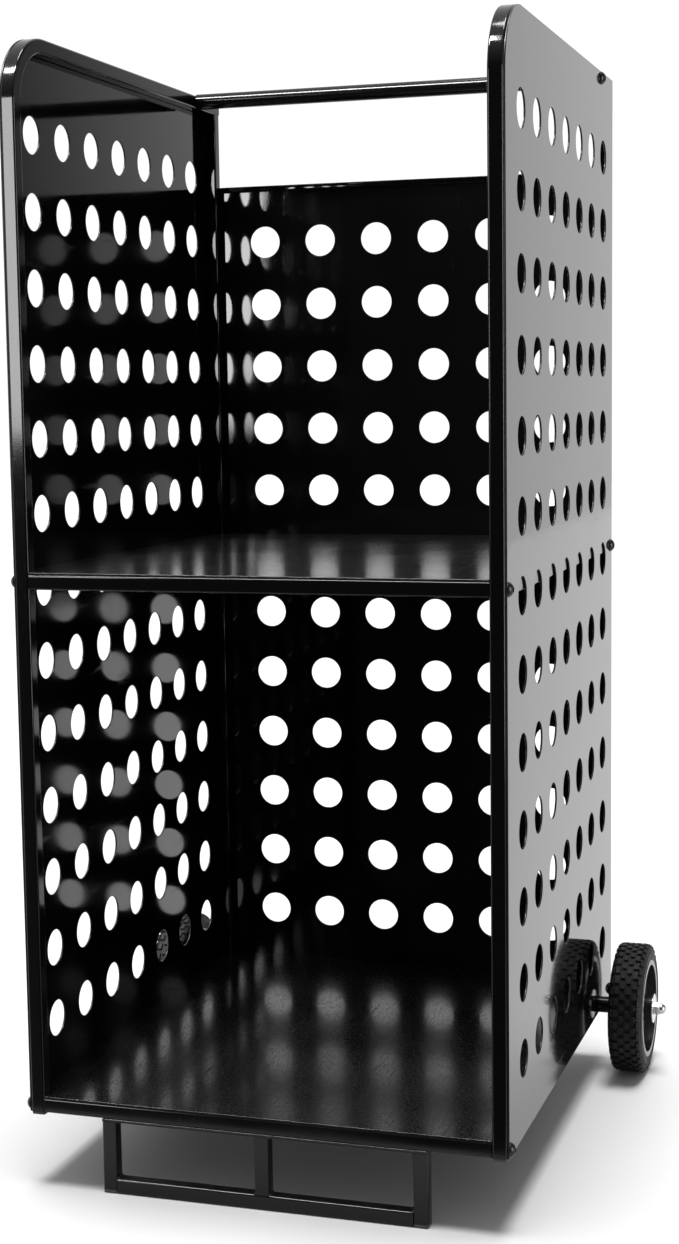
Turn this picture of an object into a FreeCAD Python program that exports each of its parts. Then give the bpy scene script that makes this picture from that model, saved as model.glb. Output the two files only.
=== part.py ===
"""Firewood log rack: two perforated side frames, a mid shelf, a floor, a back panel, a handle, a welded
front foot and a pair of wheels on a cross axle. Millimetres; +Z up, the front faces -Y, origin on the
ground under the middle of the bounding box."""
import FreeCAD, Part
import math
import os

import Sketcher

SIZES = {
    # the whole rack
    "rack_width": 500,          # outside of one side panel to outside of the other
    "rack_depth": 560,          # front of the front posts to the back panel's rear face
    "rack_top": 1154,           # top of the side frames above the ground
    "base_height": 77,          # underside of the floor frame above the ground
    "shelf_height": 612,        # underside of the shelf frame above the ground
    "back_top": 1053,           # top edge of the back panel above the ground
    # square tube of the frames
    "tube_side": 15,
    "tube_wall": 1.5,
    "tube_corner": 2.2,
    "bend_radius": 70,          # outside of the bend between front post and top rail
    # sheet metal
    "sheet": 2,
    "panel_inset": 1.5,         # side panel's front edge behind the post's front face
    "hem_height": 7,
    # perforation
    "hole_diameter": 37.5,
    "row_pitch": 75.5,
    "lowest_row": 155,          # height of the lowest row above the ground
    "side_rows": 13,
    "side_columns": 7,
    "side_pitch": 72,
    "side_first": 67.5,         # first column behind the front of the rack
    "back_rows": 12,
    "back_columns": 6,
    "back_pitch": 70.5,
    # handle
    "handle_diameter": 18,
    "handle_wall": 1.5,
    "handle_setback": 487,      # handle's axis behind the front of the rack
    # front foot
    "foot_width": 340,
    "foot_strip": 3,
    "foot_plug": 3,
    # fasteners and plugs
    "bolt_diameter": 8,
    "bolt_clearance": 8.6,
    "bolt_head_diameter": 14.4,
    "bolt_head_height": 4.6,
    "bolt_dome": 7.8,           # radius of the button head's dome
    "bolt_length": 32,
    "bolt_socket": 5,           # across flats of the hexagon socket
    "insert_length": 16,
    "plug_head": 2.5,
    "plug_shank": 3,            # ends below the floor bolts
    "plug_margin": 0.4,         # plug's head inside the tube's faces
    "screw_diameter": 4.2,
    "screw_hole": 4.4,
    "screw_head_diameter": 8,
    "screw_head_height": 2.4,
    "screw_length": 9,
    "screw_rows": 4,
    "screw_first": 110,         # lowest back panel screw above the ground
    "screw_pitch": 305,
    # wheels and axle
    "wheel_radius": 75,
    "wheel_width": 39,
    "wheel_gap": 15,            # side panel's outer face to the tyre
    "tyre_seat": 56.5,          # radius where the tyre sits on the rim
    "tyre_shoulder": 6,
    "rim_edge": 50.5,           # inner radius of the rim's outer ring
    "rim_web": 14,
    "rim_window": 20,           # inner radius of the windows between the spokes
    "spokes": 5,
    "spoke_angle": 20,
    "hub_radius": 15,
    "hub_overhang": 3,          # hub's outer end beyond the tyre
    "axle_setback": 515.6,      # wheel axis behind the front of the rack
    "axle_tube_diameter": 19,
    "axle_tube_wall": 2.5,
    "axle_bush_length": 18,
    "rod_diameter": 8,
    "rod_end": 318,             # rod's end from the middle of the rack
    "sleeve_diameter": 12,
    "running_clearance": 0.05,
    "hub_play": 0.5,
    "washer_thickness": 1.5,
    "washer_diameter": 34,
    "nut_flats": 13,
    "nut_hexagon": 6.5,
    "nut_dome": 6.3,
    "nut_length": 14,
}

doc = FreeCAD.newDocument("firewood_log_rack")
sheet = doc.addObject("Spreadsheet::Sheet", "Sizes")
for row, (alias, amount) in enumerate(SIZES.items(), start=1):
    sheet.set(f"A{row}", alias)
    sheet.set(f"B{row}", str(amount))
    sheet.setAlias(f"B{row}", alias)
doc.recompute()

# Planes that many pieces share, as expressions of the sheet.
FRONT = "-(Sizes.axle_setback + Sizes.wheel_radius) / 2"
BACK = f"({FRONT} + Sizes.rack_depth)"
HALF_TUBE = "Sizes.tube_side / 2"
PANEL_OUT = "Sizes.rack_width / 2"
FRAME_OUT = f"({PANEL_OUT} - Sizes.sheet)"
FRAME_IN = f"({FRAME_OUT} - Sizes.tube_side)"
FRAME_MID = f"({FRAME_OUT} - {HALF_TUBE})"
POST_FRONT_Y = f"({FRONT} + {HALF_TUBE})"
POST_REAR_Y = f"({BACK} - Sizes.sheet - {HALF_TUBE})"
TOP_RAIL_Z = f"(Sizes.rack_top - {HALF_TUBE})"
AXLE_Y = f"({FRONT} + Sizes.axle_setback)"
HANDLE_Y = f"({FRONT} + Sizes.handle_setback)"
WHEEL_MID = f"({PANEL_OUT} + Sizes.wheel_gap + Sizes.wheel_width / 2)"
WASHER_IN = "(-Sizes.wheel_width / 2 - Sizes.hub_play)"
WASHER_OUT = "(Sizes.wheel_width / 2 + Sizes.hub_overhang + Sizes.hub_play)"
SIDES = {"left": -1, "right": 1}

# Turns that carry a piece made along Z, or facing +X, to where it lies on the rack.
UPRIGHT = FreeCAD.Rotation()
ALONG_X = FreeCAD.Rotation(FreeCAD.Vector(0, 1, 0), 90)
ALONG_Y = FreeCAD.Rotation(FreeCAD.Vector(1, 0, 0), -90)
DOWNWARD = FreeCAD.Rotation(FreeCAD.Vector(1, 0, 0), 180)
FACING_LEFT = FreeCAD.Rotation(FreeCAD.Vector(0, 0, 1), 180)

nodes = []


# ---- helpers ---------------------------------------------------------------------------------------

def number(expression):
    """The value of an expression of the sheet, in millimetres or degrees."""
    result = sheet.evalExpression(str(expression))
    return float(getattr(result, "Value", result))


def place(piece, x="0", y="0", z="0", turn=UPRIGHT):
    """Puts a piece at expressions x, y and z, with a fixed turn."""
    piece.Placement = FreeCAD.Placement(FreeCAD.Vector(number(x), number(y), number(z)), turn)
    for axis, expression in (("x", x), ("y", y), ("z", z)):
        piece.setExpression(f"Placement.Base.{axis}", expression)
    return piece


def keep(piece, label):
    """Names a finished sub-part, which is written to a file of the same name."""
    piece.Label = label
    nodes.append(piece)
    return piece


def shape(kind, label, **sizes):
    """A Part primitive whose sizes are expressions."""
    piece = doc.addObject(kind, label)
    for property_name, expression in sizes.items():
        piece.setExpression(property_name, expression)
    return piece


def cut(label, base, tool):
    result = doc.addObject("Part::Cut", label)
    result.Base = base
    result.Tool = tool
    return result


def fuse(label, pieces):
    result = doc.addObject("Part::MultiFuse", label)
    result.Shapes = pieces
    return result


def group(label, template, places):
    """One node of several equal solids: a link to the template at each (x, y, z, turn)."""
    links = []
    for index, (x, y, z, turn) in enumerate(places, start=1):
        link = doc.addObject("App::Link", f"{label}_{index}")
        link.LinkedObject = template
        links.append(place(link, x, y, z, turn))
    result = doc.addObject("Part::Compound", label)
    result.Links = links
    return keep(result, label)


def sketch_on(body, role, name):
    """A sketch on one of the body's own origin planes."""
    sketch = body.newObject("Sketcher::SketchObject", name)
    for feature in body.Origin.OriginFeatures:
        if feature.Role == role:
            sketch.AttachmentSupport = (feature, [""])
    sketch.MapMode = "FlatFace"
    return sketch


def pin(sketch, element, end, x, y=None):
    """Holds one point of a sketch element at expressions x and y from the sketch's origin."""
    for axis_line, kind, expression in ((-2, "DistanceX", x), (-1, "DistanceY", y)):
        if expression is None:
            continue
        value = number(expression)
        if abs(value) < 1e-9:
            sketch.addConstraint(Sketcher.Constraint("PointOnObject", element, end, axis_line))
        else:
            held = sketch.addConstraint(Sketcher.Constraint(kind, -1, 1, element, end, value))
            sketch.setExpression(f"Constraints[{held}]", expression)


def draw_circle(sketch, x, y, diameter):
    centre = FreeCAD.Vector(number(x), number(y), 0)
    radius = number(diameter) / 2
    element = sketch.addGeometry(Part.Circle(centre, FreeCAD.Vector(0, 0, 1), radius))
    pin(sketch, element, 3, x, y)
    held = sketch.addConstraint(Sketcher.Constraint("Diameter", element, 2 * radius))
    sketch.setExpression(f"Constraints[{held}]", diameter)


def draw_outline(sketch, corners, closed=True):
    """Draws edges from corner to corner. A corner is (x, y), or (x, y, radius) where two edges that run
    along the sketch's axes meet in a round corner; all are expressions."""
    at = [FreeCAD.Vector(number(corner[0]), number(corner[1]), 0) for corner in corners]
    total = len(corners)
    spans = []
    for index, corner in enumerate(corners):
        if len(corner) == 2:
            spans.append((corner, corner))
            continue
        x, y, radius = corner
        came = (at[index] - at[index - 1]).normalize()
        goes = (at[(index + 1) % total] - at[index]).normalize()
        first = (f"{x} - {came.x:.0f} * ({radius})", f"{y} - {came.y:.0f} * ({radius})")
        last = (f"{x} + {goes.x:.0f} * ({radius})", f"{y} + {goes.y:.0f} * ({radius})")
        spans.append((first, last))
        start, finish = (FreeCAD.Vector(number(px), number(py), 0) for px, py in (first, last))
        centre = start + finish - at[index]
        middle = centre + (at[index] - centre).normalize() * number(radius)
        element = sketch.addGeometry(Part.Arc(start, middle, finish))
        first_end = 1 if sketch.getPoint(element, 1).distanceToPoint(start) < 1e-6 else 2
        pin(sketch, element, first_end, *first)
        pin(sketch, element, 3 - first_end, *last)
        held = sketch.addConstraint(Sketcher.Constraint("Radius", element, number(radius)))
        sketch.setExpression(f"Constraints[{held}]", radius)
    for index in range(total if closed else total - 1):
        begin = spans[index][1]
        finish = spans[(index + 1) % total][0]
        points = [FreeCAD.Vector(number(px), number(py), 0) for px, py in (begin, finish)]
        element = sketch.addGeometry(Part.LineSegment(*points))
        pin(sketch, element, 1, *begin)
        pin(sketch, element, 2, *finish)


def draw_rectangle(sketch, low_x, low_y, high_x, high_y, *radius):
    corners = ((low_x, low_y), (high_x, low_y), (high_x, high_y), (low_x, high_y))
    draw_outline(sketch, [corner + radius for corner in corners])


def pad(body, sketch, length, name="Pad", reverse=False):
    feature = body.newObject("PartDesign::Pad", name)
    feature.Profile = sketch
    feature.Reversed = reverse
    feature.setExpression("Length", length)
    return feature


def pocket_through(body, sketch, name):
    """Cuts a sketch right through the body, both ways from the sketch's plane."""
    feature = body.newObject("PartDesign::Pocket", name)
    feature.Profile = sketch
    feature.Type = "ThroughAll"
    feature.SideType = "Symmetric"
    return feature


def revolve_about_x(body, sketch, name):
    feature = body.newObject("PartDesign::Revolution", name)
    feature.Profile = sketch
    feature.ReferenceAxis = (sketch, ["H_Axis"])
    feature.Angle = 360
    return feature


def axis_line(body, role):
    for feature in body.Origin.OriginFeatures:
        if feature.Role == role:
            return (feature, [""])
    raise ValueError(role)


def new_body(name):
    return doc.addObject("PartDesign::Body", name)


def draw_tube_section(sketch):
    """Square tube about the sketch's origin: an outer and an inner outline with round corners."""
    inner = f"({HALF_TUBE} - Sizes.tube_wall)"
    inner_corner = "Sizes.tube_corner - Sizes.tube_wall"
    draw_rectangle(sketch, f"-{HALF_TUBE}", f"-{HALF_TUBE}", HALF_TUBE, HALF_TUBE, "Sizes.tube_corner")
    draw_rectangle(sketch, f"-{inner}", f"-{inner}", inner, inner, inner_corner)


def square_tube(label, length):
    """A straight square tube, made along Z from the origin."""
    body = new_body(label)
    section = sketch_on(body, "XY_Plane", f"{label}_section")
    draw_tube_section(section)
    pad(body, section, length, f"{label}_pad")
    return keep(body, label)


def cross_holes(body, points):
    """Bolt holes along X through both walls, at (y, z) expressions in the body's own frame."""
    holes = sketch_on(body, "YZ_Plane", f"{body.Name}_holes")
    for y, z in points:
        draw_circle(holes, y, z, "Sizes.bolt_clearance")
    pocket_through(body, holes, f"{body.Name}_cross_holes")


def screw_holes(body, columns, length=None):
    """The back panel's screw holes along Y at the column expressions; a length keeps them to the rear side."""
    holes = sketch_on(body, "XZ_Plane", f"{body.Name}_screw_places")
    for column in columns:
        for index in range(SIZES["screw_rows"]):
            height = f"Sizes.screw_first + {index} * Sizes.screw_pitch - Sizes.base_height"
            draw_circle(holes, column, height, "Sizes.screw_hole")
    pocket = pocket_through(body, holes, f"{body.Name}_screw_holes")
    if length:
        pocket.Type = "Length"
        pocket.SideType = "One side"
        pocket.setExpression("Length", length)


# ---- side frames: bent tube, rear post, mid rail, bottom rail --------------------------------------

def side_tube(side, sign):
    """Front post and top rail in one tube, bent through a right angle. Made from the post's lower end."""
    label = f"{side}_side_tube"
    body = new_body(label)
    section = sketch_on(body, "XY_Plane", f"{label}_section")
    draw_tube_section(section)
    path = sketch_on(body, "YZ_Plane", f"{label}_path")
    rail = f"({TOP_RAIL_Z} - Sizes.base_height)"
    rail_end = f"(Sizes.rack_depth - Sizes.plug_head - {HALF_TUBE})"
    bend = f"Sizes.bend_radius - {HALF_TUBE}"
    draw_outline(path, [("0", "0"), ("0", rail, bend), (rail_end, rail)], closed=False)
    doc.recompute()
    pipe = body.newObject("PartDesign::AdditivePipe", f"{label}_pipe")
    pipe.Profile = section
    pipe.Spine = path
    cross_holes(body, [
        ("0", HALF_TUBE),
        ("0", f"Sizes.shelf_height + {HALF_TUBE} - Sizes.base_height"),
        (f"Sizes.handle_setback - {HALF_TUBE}", rail),
    ])
    keep(body, label)
    place(body, f"{sign} * {FRAME_MID}", POST_FRONT_Y, "Sizes.base_height")


def rear_post(side, sign):
    label = f"{side}_rear_post"
    body = square_tube(label, "Sizes.rack_top - Sizes.tube_side - Sizes.base_height")
    cross_holes(body, [
        ("0", HALF_TUBE),
        ("0", f"Sizes.shelf_height + {HALF_TUBE} - Sizes.base_height"),
    ])
    screw_holes(body, ["0"], "Sizes.tube_side")
    place(body, f"{sign} * {FRAME_MID}", POST_REAR_Y, "Sizes.base_height")


def side_rail(label, sign, height):
    """A rail along Y between the front post and the rear post."""
    body = square_tube(label, "Sizes.rack_depth - Sizes.sheet - 2 * Sizes.tube_side")
    place(body, f"{sign} * {FRAME_MID}", f"{FRONT} + Sizes.tube_side", f"{height} + {HALF_TUBE}", ALONG_Y)
    return body


def bottom_rail(side, sign):
    """The lower side rail, with a half-round notch in its underside for the axle tube."""
    body = side_rail(f"{side}_bottom_rail", sign, "Sizes.base_height")
    notch = sketch_on(body, "YZ_Plane", f"{side}_bottom_rail_notch")
    across = f"{HALF_TUBE} + Sizes.base_height - Sizes.wheel_radius"
    draw_circle(notch, across, "Sizes.axle_setback - Sizes.tube_side", "Sizes.axle_tube_diameter")
    pocket_through(body, notch, f"{side}_bottom_rail_cut")


for side, sign in SIDES.items():
    side_tube(side, sign)
    rear_post(side, sign)
    side_rail(f"{side}_mid_rail", sign, "Sizes.shelf_height")
    bottom_rail(side, sign)


# ---- perforated panels -----------------------------------------------------------------------------

def perforate(body, panel, columns, rows):
    """Cuts one row of round holes at the column expressions and repeats it upwards."""
    row = sketch_on(body, panel, f"{body.Name}_row")
    first = "Sizes.lowest_row - Sizes.base_height"
    for column in columns:
        draw_circle(row, column, first, "Sizes.hole_diameter")
    holes = pocket_through(body, row, f"{body.Name}_row_holes")
    doc.recompute()
    pattern = body.newObject("PartDesign::LinearPattern", f"{body.Name}_pattern")
    pattern.Originals = [holes]
    pattern.Direction = axis_line(body, "Z_Axis")
    pattern.setExpression("Length", f"Sizes.row_pitch * (Sizes.{rows} - 1)")
    pattern.setExpression("Occurrences", f"Sizes.{rows}")
    body.Tip = pattern


def side_panel(side, sign):
    """Sheet on the outside of a side frame: its upper front corner follows the bend of the tube."""
    label = f"{side}_side_panel"
    body = new_body(label)
    outline = sketch_on(body, "YZ_Plane", f"{label}_outline")
    height = "(Sizes.rack_top - Sizes.base_height)"
    draw_outline(outline, [
        ("Sizes.panel_inset", "0"),
        ("Sizes.rack_depth", "0"),
        ("Sizes.rack_depth", height),
        ("Sizes.panel_inset", height, "Sizes.bend_radius - Sizes.panel_inset"),
    ])
    pad(body, outline, "Sizes.sheet", f"{label}_pad")
    rear = f"Sizes.rack_depth - Sizes.sheet - {HALF_TUBE}"
    shelf = f"Sizes.shelf_height + {HALF_TUBE} - Sizes.base_height"
    cross_holes(body, [
        (HALF_TUBE, HALF_TUBE),
        (HALF_TUBE, shelf),
        (rear, HALF_TUBE),
        (rear, shelf),
        ("Sizes.handle_setback", f"{height} - {HALF_TUBE}"),
    ])
    notch = sketch_on(body, "YZ_Plane", f"{label}_notch")
    draw_circle(notch, "Sizes.axle_setback", "Sizes.wheel_radius - Sizes.base_height",
                "Sizes.axle_tube_diameter")
    pocket_through(body, notch, f"{label}_notch_cut")
    columns = [f"Sizes.side_first + {index} * Sizes.side_pitch" for index in range(SIZES["side_columns"])]
    perforate(body, "YZ_Plane", columns, "side_rows")
    keep(body, label)
    inner_face = PANEL_OUT if sign < 0 else FRAME_OUT
    place(body, f"{sign} * {inner_face}", FRONT, "Sizes.base_height")


def back_panel():
    """Sheet on the rear faces of the rear posts, with a flat hem along the inside of its top edge."""
    body = new_body("back_panel")
    outline = sketch_on(body, "XZ_Plane", "back_panel_outline")
    height = "(Sizes.back_top - Sizes.base_height)"
    draw_rectangle(outline, f"-{FRAME_OUT}", "0", FRAME_OUT, height)
    pad(body, outline, "Sizes.sheet", "back_panel_pad")
    hem = sketch_on(body, "XZ_Plane", "back_panel_hem")
    hem_end = f"({FRAME_IN} - Sizes.panel_inset)"
    draw_rectangle(hem, f"-{hem_end}", f"{height} - Sizes.hem_height", hem_end, height)
    pad(body, hem, "2 * Sizes.sheet", "back_panel_hem_pad")
    screw_holes(body, [f"-{FRAME_MID}", FRAME_MID])
    middle = f"({SIZES['back_columns']} - 1) / 2"
    columns = [f"({index} - {middle}) * Sizes.back_pitch" for index in range(SIZES["back_columns"])]
    perforate(body, "XZ_Plane", columns, "back_rows")
    keep(body, "back_panel")
    place(body, "0", BACK, "Sizes.base_height")


for side, sign in SIDES.items():
    side_panel(side, sign)
back_panel()


# ---- shelf and floor: a bar at the front and rear and a notched plate on top -----------------------

def cross_bar(label, depth_place, height):
    """A square tube across the rack between the side frames."""
    body = square_tube(label, f"2 * {FRAME_IN}")
    place(body, f"-{FRAME_IN}", depth_place, f"{height} + {HALF_TUBE}", ALONG_X)


def deck(label, height):
    """Sheet that lies on the two cross bars and the two side rails, notched round the four posts."""
    body = new_body(label)
    outline = sketch_on(body, "XY_Plane", f"{label}_outline")
    depth = "(Sizes.rack_depth - Sizes.sheet)"
    notch = "Sizes.tube_side"
    draw_outline(outline, [
        (f"-{FRAME_IN}", "0"),
        (FRAME_IN, "0"),
        (FRAME_IN, notch),
        (FRAME_OUT, notch),
        (FRAME_OUT, f"{depth} - {notch}"),
        (FRAME_IN, f"{depth} - {notch}"),
        (FRAME_IN, depth),
        (f"-{FRAME_IN}", depth),
        (f"-{FRAME_IN}", f"{depth} - {notch}"),
        (f"-{FRAME_OUT}", f"{depth} - {notch}"),
        (f"-{FRAME_OUT}", notch),
        (f"-{FRAME_IN}", notch),
    ])
    pad(body, outline, "Sizes.sheet", f"{label}_pad")
    keep(body, label)
    place(body, "0", FRONT, f"{height} + Sizes.tube_side")


for level, height in (("shelf", "Sizes.shelf_height"), ("floor", "Sizes.base_height")):
    cross_bar(f"{level}_front_bar", POST_FRONT_Y, height)
    cross_bar(f"{level}_rear_bar", POST_REAR_Y, height)
    deck(f"{level}_plate", height)


# ---- handle ----------------------------------------------------------------------------------------

def handle():
    body = new_body("handle_bar")
    section = sketch_on(body, "YZ_Plane", "handle_section")
    draw_circle(section, "0", "0", "Sizes.handle_diameter")
    draw_circle(section, "0", "0", "Sizes.handle_diameter - 2 * Sizes.handle_wall")
    pad(body, section, f"2 * {FRAME_IN}", "handle_pad")
    keep(body, "handle_bar")
    place(body, f"-{FRAME_IN}", HANDLE_Y, TOP_RAIL_Z)


handle()


# ---- front foot: three uprights, a ground tube and a strip under the floor's front bar --------------

def foot():
    upright_top = "(Sizes.base_height - Sizes.foot_strip)"
    outer = f"(Sizes.foot_width / 2 - {HALF_TUBE})"
    for side, sign in SIDES.items():
        upright = square_tube(f"foot_{side}_upright", f"{upright_top} - Sizes.foot_plug")
        place(upright, f"{sign} * {outer}", POST_FRONT_Y, "Sizes.foot_plug")
    middle = square_tube("foot_middle_upright", f"{upright_top} - Sizes.tube_side")
    place(middle, "0", POST_FRONT_Y, "Sizes.tube_side")
    ground = square_tube("foot_bottom_tube", "Sizes.foot_width - 2 * Sizes.tube_side")
    place(ground, "-Sizes.foot_width / 2 + Sizes.tube_side", POST_FRONT_Y, HALF_TUBE, ALONG_X)
    strip = shape("Part::Box", "foot_top_strip", Length="Sizes.foot_width", Width="Sizes.tube_side",
                  Height="Sizes.foot_strip")
    keep(place(strip, "-Sizes.foot_width / 2", FRONT, upright_top), "foot_top_strip")


foot()


# ---- plugs, inserts, bolts and screws --------------------------------------------------------------

def square_plug(label, head_side, head_height, shank_height):
    """A plastic plug made along Z: its head from the origin up, its shank below, inside the tube."""
    body = new_body(label)
    head = sketch_on(body, "XY_Plane", f"{label}_head")
    half = f"({head_side} / 2)"
    draw_rectangle(head, f"-{half}", f"-{half}", half, half, "Sizes.tube_corner")
    pad(body, head, head_height, f"{label}_head_pad")
    shank = sketch_on(body, "XY_Plane", f"{label}_shank")
    bore = f"({HALF_TUBE} - Sizes.tube_wall)"
    corner = "Sizes.tube_corner - Sizes.tube_wall"
    draw_rectangle(shank, f"-{bore}", f"-{bore}", bore, bore, corner)
    pad(body, shank, shank_height, f"{label}_shank_pad", reverse=True)
    return body


def tube_plugs():
    """Plugs in the lower ends of the four posts and the rear ends of the top rails, and under the foot."""
    plug = square_plug("tube_plug", "(Sizes.tube_side - 2 * Sizes.plug_margin)", "Sizes.plug_head",
                       "Sizes.plug_shank")
    places = []
    for sign in SIDES.values():
        across = f"{sign} * {FRAME_MID}"
        places.append((across, POST_FRONT_Y, "Sizes.base_height", DOWNWARD))
        places.append((across, POST_REAR_Y, "Sizes.base_height", DOWNWARD))
        places.append((across, f"{BACK} - Sizes.plug_head", TOP_RAIL_Z, ALONG_Y))
    group("tube_end_plugs", plug, places)
    foot_plug = square_plug("foot_plug", "Sizes.tube_side", "Sizes.foot_plug", "Sizes.plug_shank")
    outer = f"(Sizes.foot_width / 2 - {HALF_TUBE})"
    group("foot_end_plugs", foot_plug, [
        (f"{sign} * {outer}", POST_FRONT_Y, "Sizes.foot_plug", DOWNWARD) for sign in SIDES.values()
    ])


def threaded_inserts():
    """Threaded blocks pressed into the ends of the four cross bars and of the handle."""
    block = new_body("bar_insert")
    section = sketch_on(block, "YZ_Plane", "bar_insert_section")
    bore = f"({HALF_TUBE} - Sizes.tube_wall)"
    corner = "Sizes.tube_corner - Sizes.tube_wall"
    draw_rectangle(section, f"-{bore}", f"-{bore}", bore, bore, corner)
    draw_circle(section, "0", "0", "Sizes.bolt_diameter")
    pad(block, section, "Sizes.insert_length", "bar_insert_pad", reverse=True)
    barrel = new_body("handle_insert")
    ring = sketch_on(barrel, "YZ_Plane", "handle_insert_section")
    draw_circle(ring, "0", "0", "Sizes.handle_diameter - 2 * Sizes.handle_wall")
    draw_circle(ring, "0", "0", "Sizes.bolt_diameter")
    pad(barrel, ring, "Sizes.insert_length", "handle_insert_pad", reverse=True)
    group("bar_inserts", block, [
        (f"{sign} * {FRAME_IN}", depth, f"{height} + {HALF_TUBE}", turn)
        for sign, turn in ((-1, FACING_LEFT), (1, UPRIGHT))
        for depth in (POST_FRONT_Y, POST_REAR_Y)
        for height in ("Sizes.shelf_height", "Sizes.base_height")
    ])
    group("handle_inserts", barrel, [
        (f"{sign} * {FRAME_IN}", HANDLE_Y, TOP_RAIL_Z, turn)
        for sign, turn in ((-1, FACING_LEFT), (1, UPRIGHT))
    ])


def button_bolt():
    """Button head bolt along X: the head's seat at the origin, the head towards +X."""
    shank = shape("Part::Cylinder", "bolt_shank", Radius="Sizes.bolt_diameter / 2",
                  Height="Sizes.bolt_length + Sizes.bolt_head_height / 2")
    place(shank, "-Sizes.bolt_length", turn=ALONG_X)
    rim = shape("Part::Cylinder", "bolt_rim", Radius="Sizes.bolt_head_diameter / 2",
                Height="Sizes.bolt_head_height")
    place(rim, turn=ALONG_X)
    dome = shape("Part::Sphere", "bolt_dome", Radius="Sizes.bolt_dome")
    place(dome, "Sizes.bolt_head_height / 2 - Sizes.bolt_dome / 2 - 1")
    head = doc.addObject("Part::Common", "bolt_head")
    head.Base = rim
    head.Tool = dome
    socket = shape("Part::Prism", "bolt_socket", Height="Sizes.bolt_head_height",
                   Circumradius=f"Sizes.bolt_socket / 2 / {math.cos(math.pi / 6)}")
    socket.Polygon = 6
    place(socket, "Sizes.bolt_head_height / 2", turn=ALONG_X)
    return cut("button_bolt", fuse("bolt_solid", [head, shank]), socket)


def bolts():
    bolt = button_bolt()
    sides = ((-1, FACING_LEFT), (1, UPRIGHT))
    for level, height in (("shelf", "Sizes.shelf_height"), ("floor", "Sizes.base_height")):
        group(f"{level}_bolts", bolt, [
            (f"{sign} * {PANEL_OUT}", depth, f"{height} + {HALF_TUBE}", turn)
            for sign, turn in sides
            for depth in (POST_FRONT_Y, POST_REAR_Y)
        ])
    group("handle_bolts", bolt, [
        (f"{sign} * {PANEL_OUT}", HANDLE_Y, TOP_RAIL_Z, turn)
        for sign, turn in sides
    ])


def back_screws():
    """Pan head screws through the back panel into the rear posts."""
    head = shape("Part::Cylinder", "screw_head", Radius="Sizes.screw_head_diameter / 2",
                 Height="Sizes.screw_head_height")
    place(head, turn=ALONG_Y)
    shank = shape("Part::Cylinder", "screw_shank", Radius="Sizes.screw_diameter / 2",
                  Height="Sizes.screw_length + Sizes.screw_head_height / 2")
    place(shank, "0", "-Sizes.screw_length", turn=ALONG_Y)
    screw = fuse("pan_screw", [head, shank])
    return group("back_panel_screws", screw, [
        (f"{sign} * {FRAME_MID}", BACK, f"Sizes.screw_first + {index} * Sizes.screw_pitch", UPRIGHT)
        for sign in SIDES.values()
        for index in range(SIZES["screw_rows"])
    ])


tube_plugs()
threaded_inserts()
bolts()
back_screws()


# ---- axle and wheels: everything is made about the X axis, with the outside towards +X --------------

def ring(label, start, end, inner, outer):
    """A plain ring about the X axis, from start to end, between two radii."""
    body = new_body(label)
    section = sketch_on(body, "XY_Plane", f"{label}_section")
    draw_rectangle(section, start, inner, end, outer)
    revolve_about_x(body, section, f"{label}_revolution")
    return body


def on_axle(body, label, side, sign):
    """Puts a wheel piece on its side of the rack."""
    turn = UPRIGHT if sign > 0 else FACING_LEFT
    place(body, f"{sign} * {WHEEL_MID}", AXLE_Y, "Sizes.wheel_radius", turn)
    keep(body, f"{side}_{label}")


def tyre(name):
    """Solid rubber tyre with round shoulders, seated on the rim."""
    body = new_body(name)
    section = sketch_on(body, "XY_Plane", f"{name}_section")
    half = "(Sizes.wheel_width / 2)"
    shoulder = "Sizes.tyre_shoulder"
    draw_outline(section, [
        (f"-{half}", "Sizes.tyre_seat"),
        (half, "Sizes.tyre_seat"),
        (half, "Sizes.wheel_radius", shoulder),
        (f"-{half}", "Sizes.wheel_radius", shoulder),
    ])
    revolve_about_x(body, section, f"{name}_revolution")
    return body


def rim(name):
    """Rim, web and hub in one moulding; windows cut through the web leave the spokes."""
    body = new_body(name)
    section = sketch_on(body, "XY_Plane", f"{name}_section")
    half = "(Sizes.wheel_width / 2)"
    web = "(Sizes.rim_web / 2)"
    bore = "(Sizes.sleeve_diameter / 2 + Sizes.running_clearance)"
    draw_outline(section, [
        (f"-{half}", bore),
        (f"{half} + Sizes.hub_overhang", bore),
        (f"{half} + Sizes.hub_overhang", "Sizes.hub_radius"),
        (web, "Sizes.hub_radius"),
        (web, "Sizes.rim_edge"),
        (half, "Sizes.rim_edge"),
        (half, "Sizes.tyre_seat"),
        (f"-{half}", "Sizes.tyre_seat"),
        (f"-{half}", "Sizes.rim_edge"),
        (f"-{web}", "Sizes.rim_edge"),
        (f"-{web}", "Sizes.hub_radius"),
        (f"-{half}", "Sizes.hub_radius"),
    ])
    revolve_about_x(body, section, f"{name}_revolution")
    window = sketch_on(body, "YZ_Plane", f"{name}_window")
    draw_window(window)
    windows = pocket_through(body, window, f"{name}_window_cut")
    doc.recompute()
    pattern = body.newObject("PartDesign::PolarPattern", f"{name}_pattern")
    pattern.Originals = [windows]
    pattern.Axis = axis_line(body, "X_Axis")
    pattern.Angle = 360
    pattern.setExpression("Occurrences", "Sizes.spokes")
    body.Tip = pattern
    return body


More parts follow.
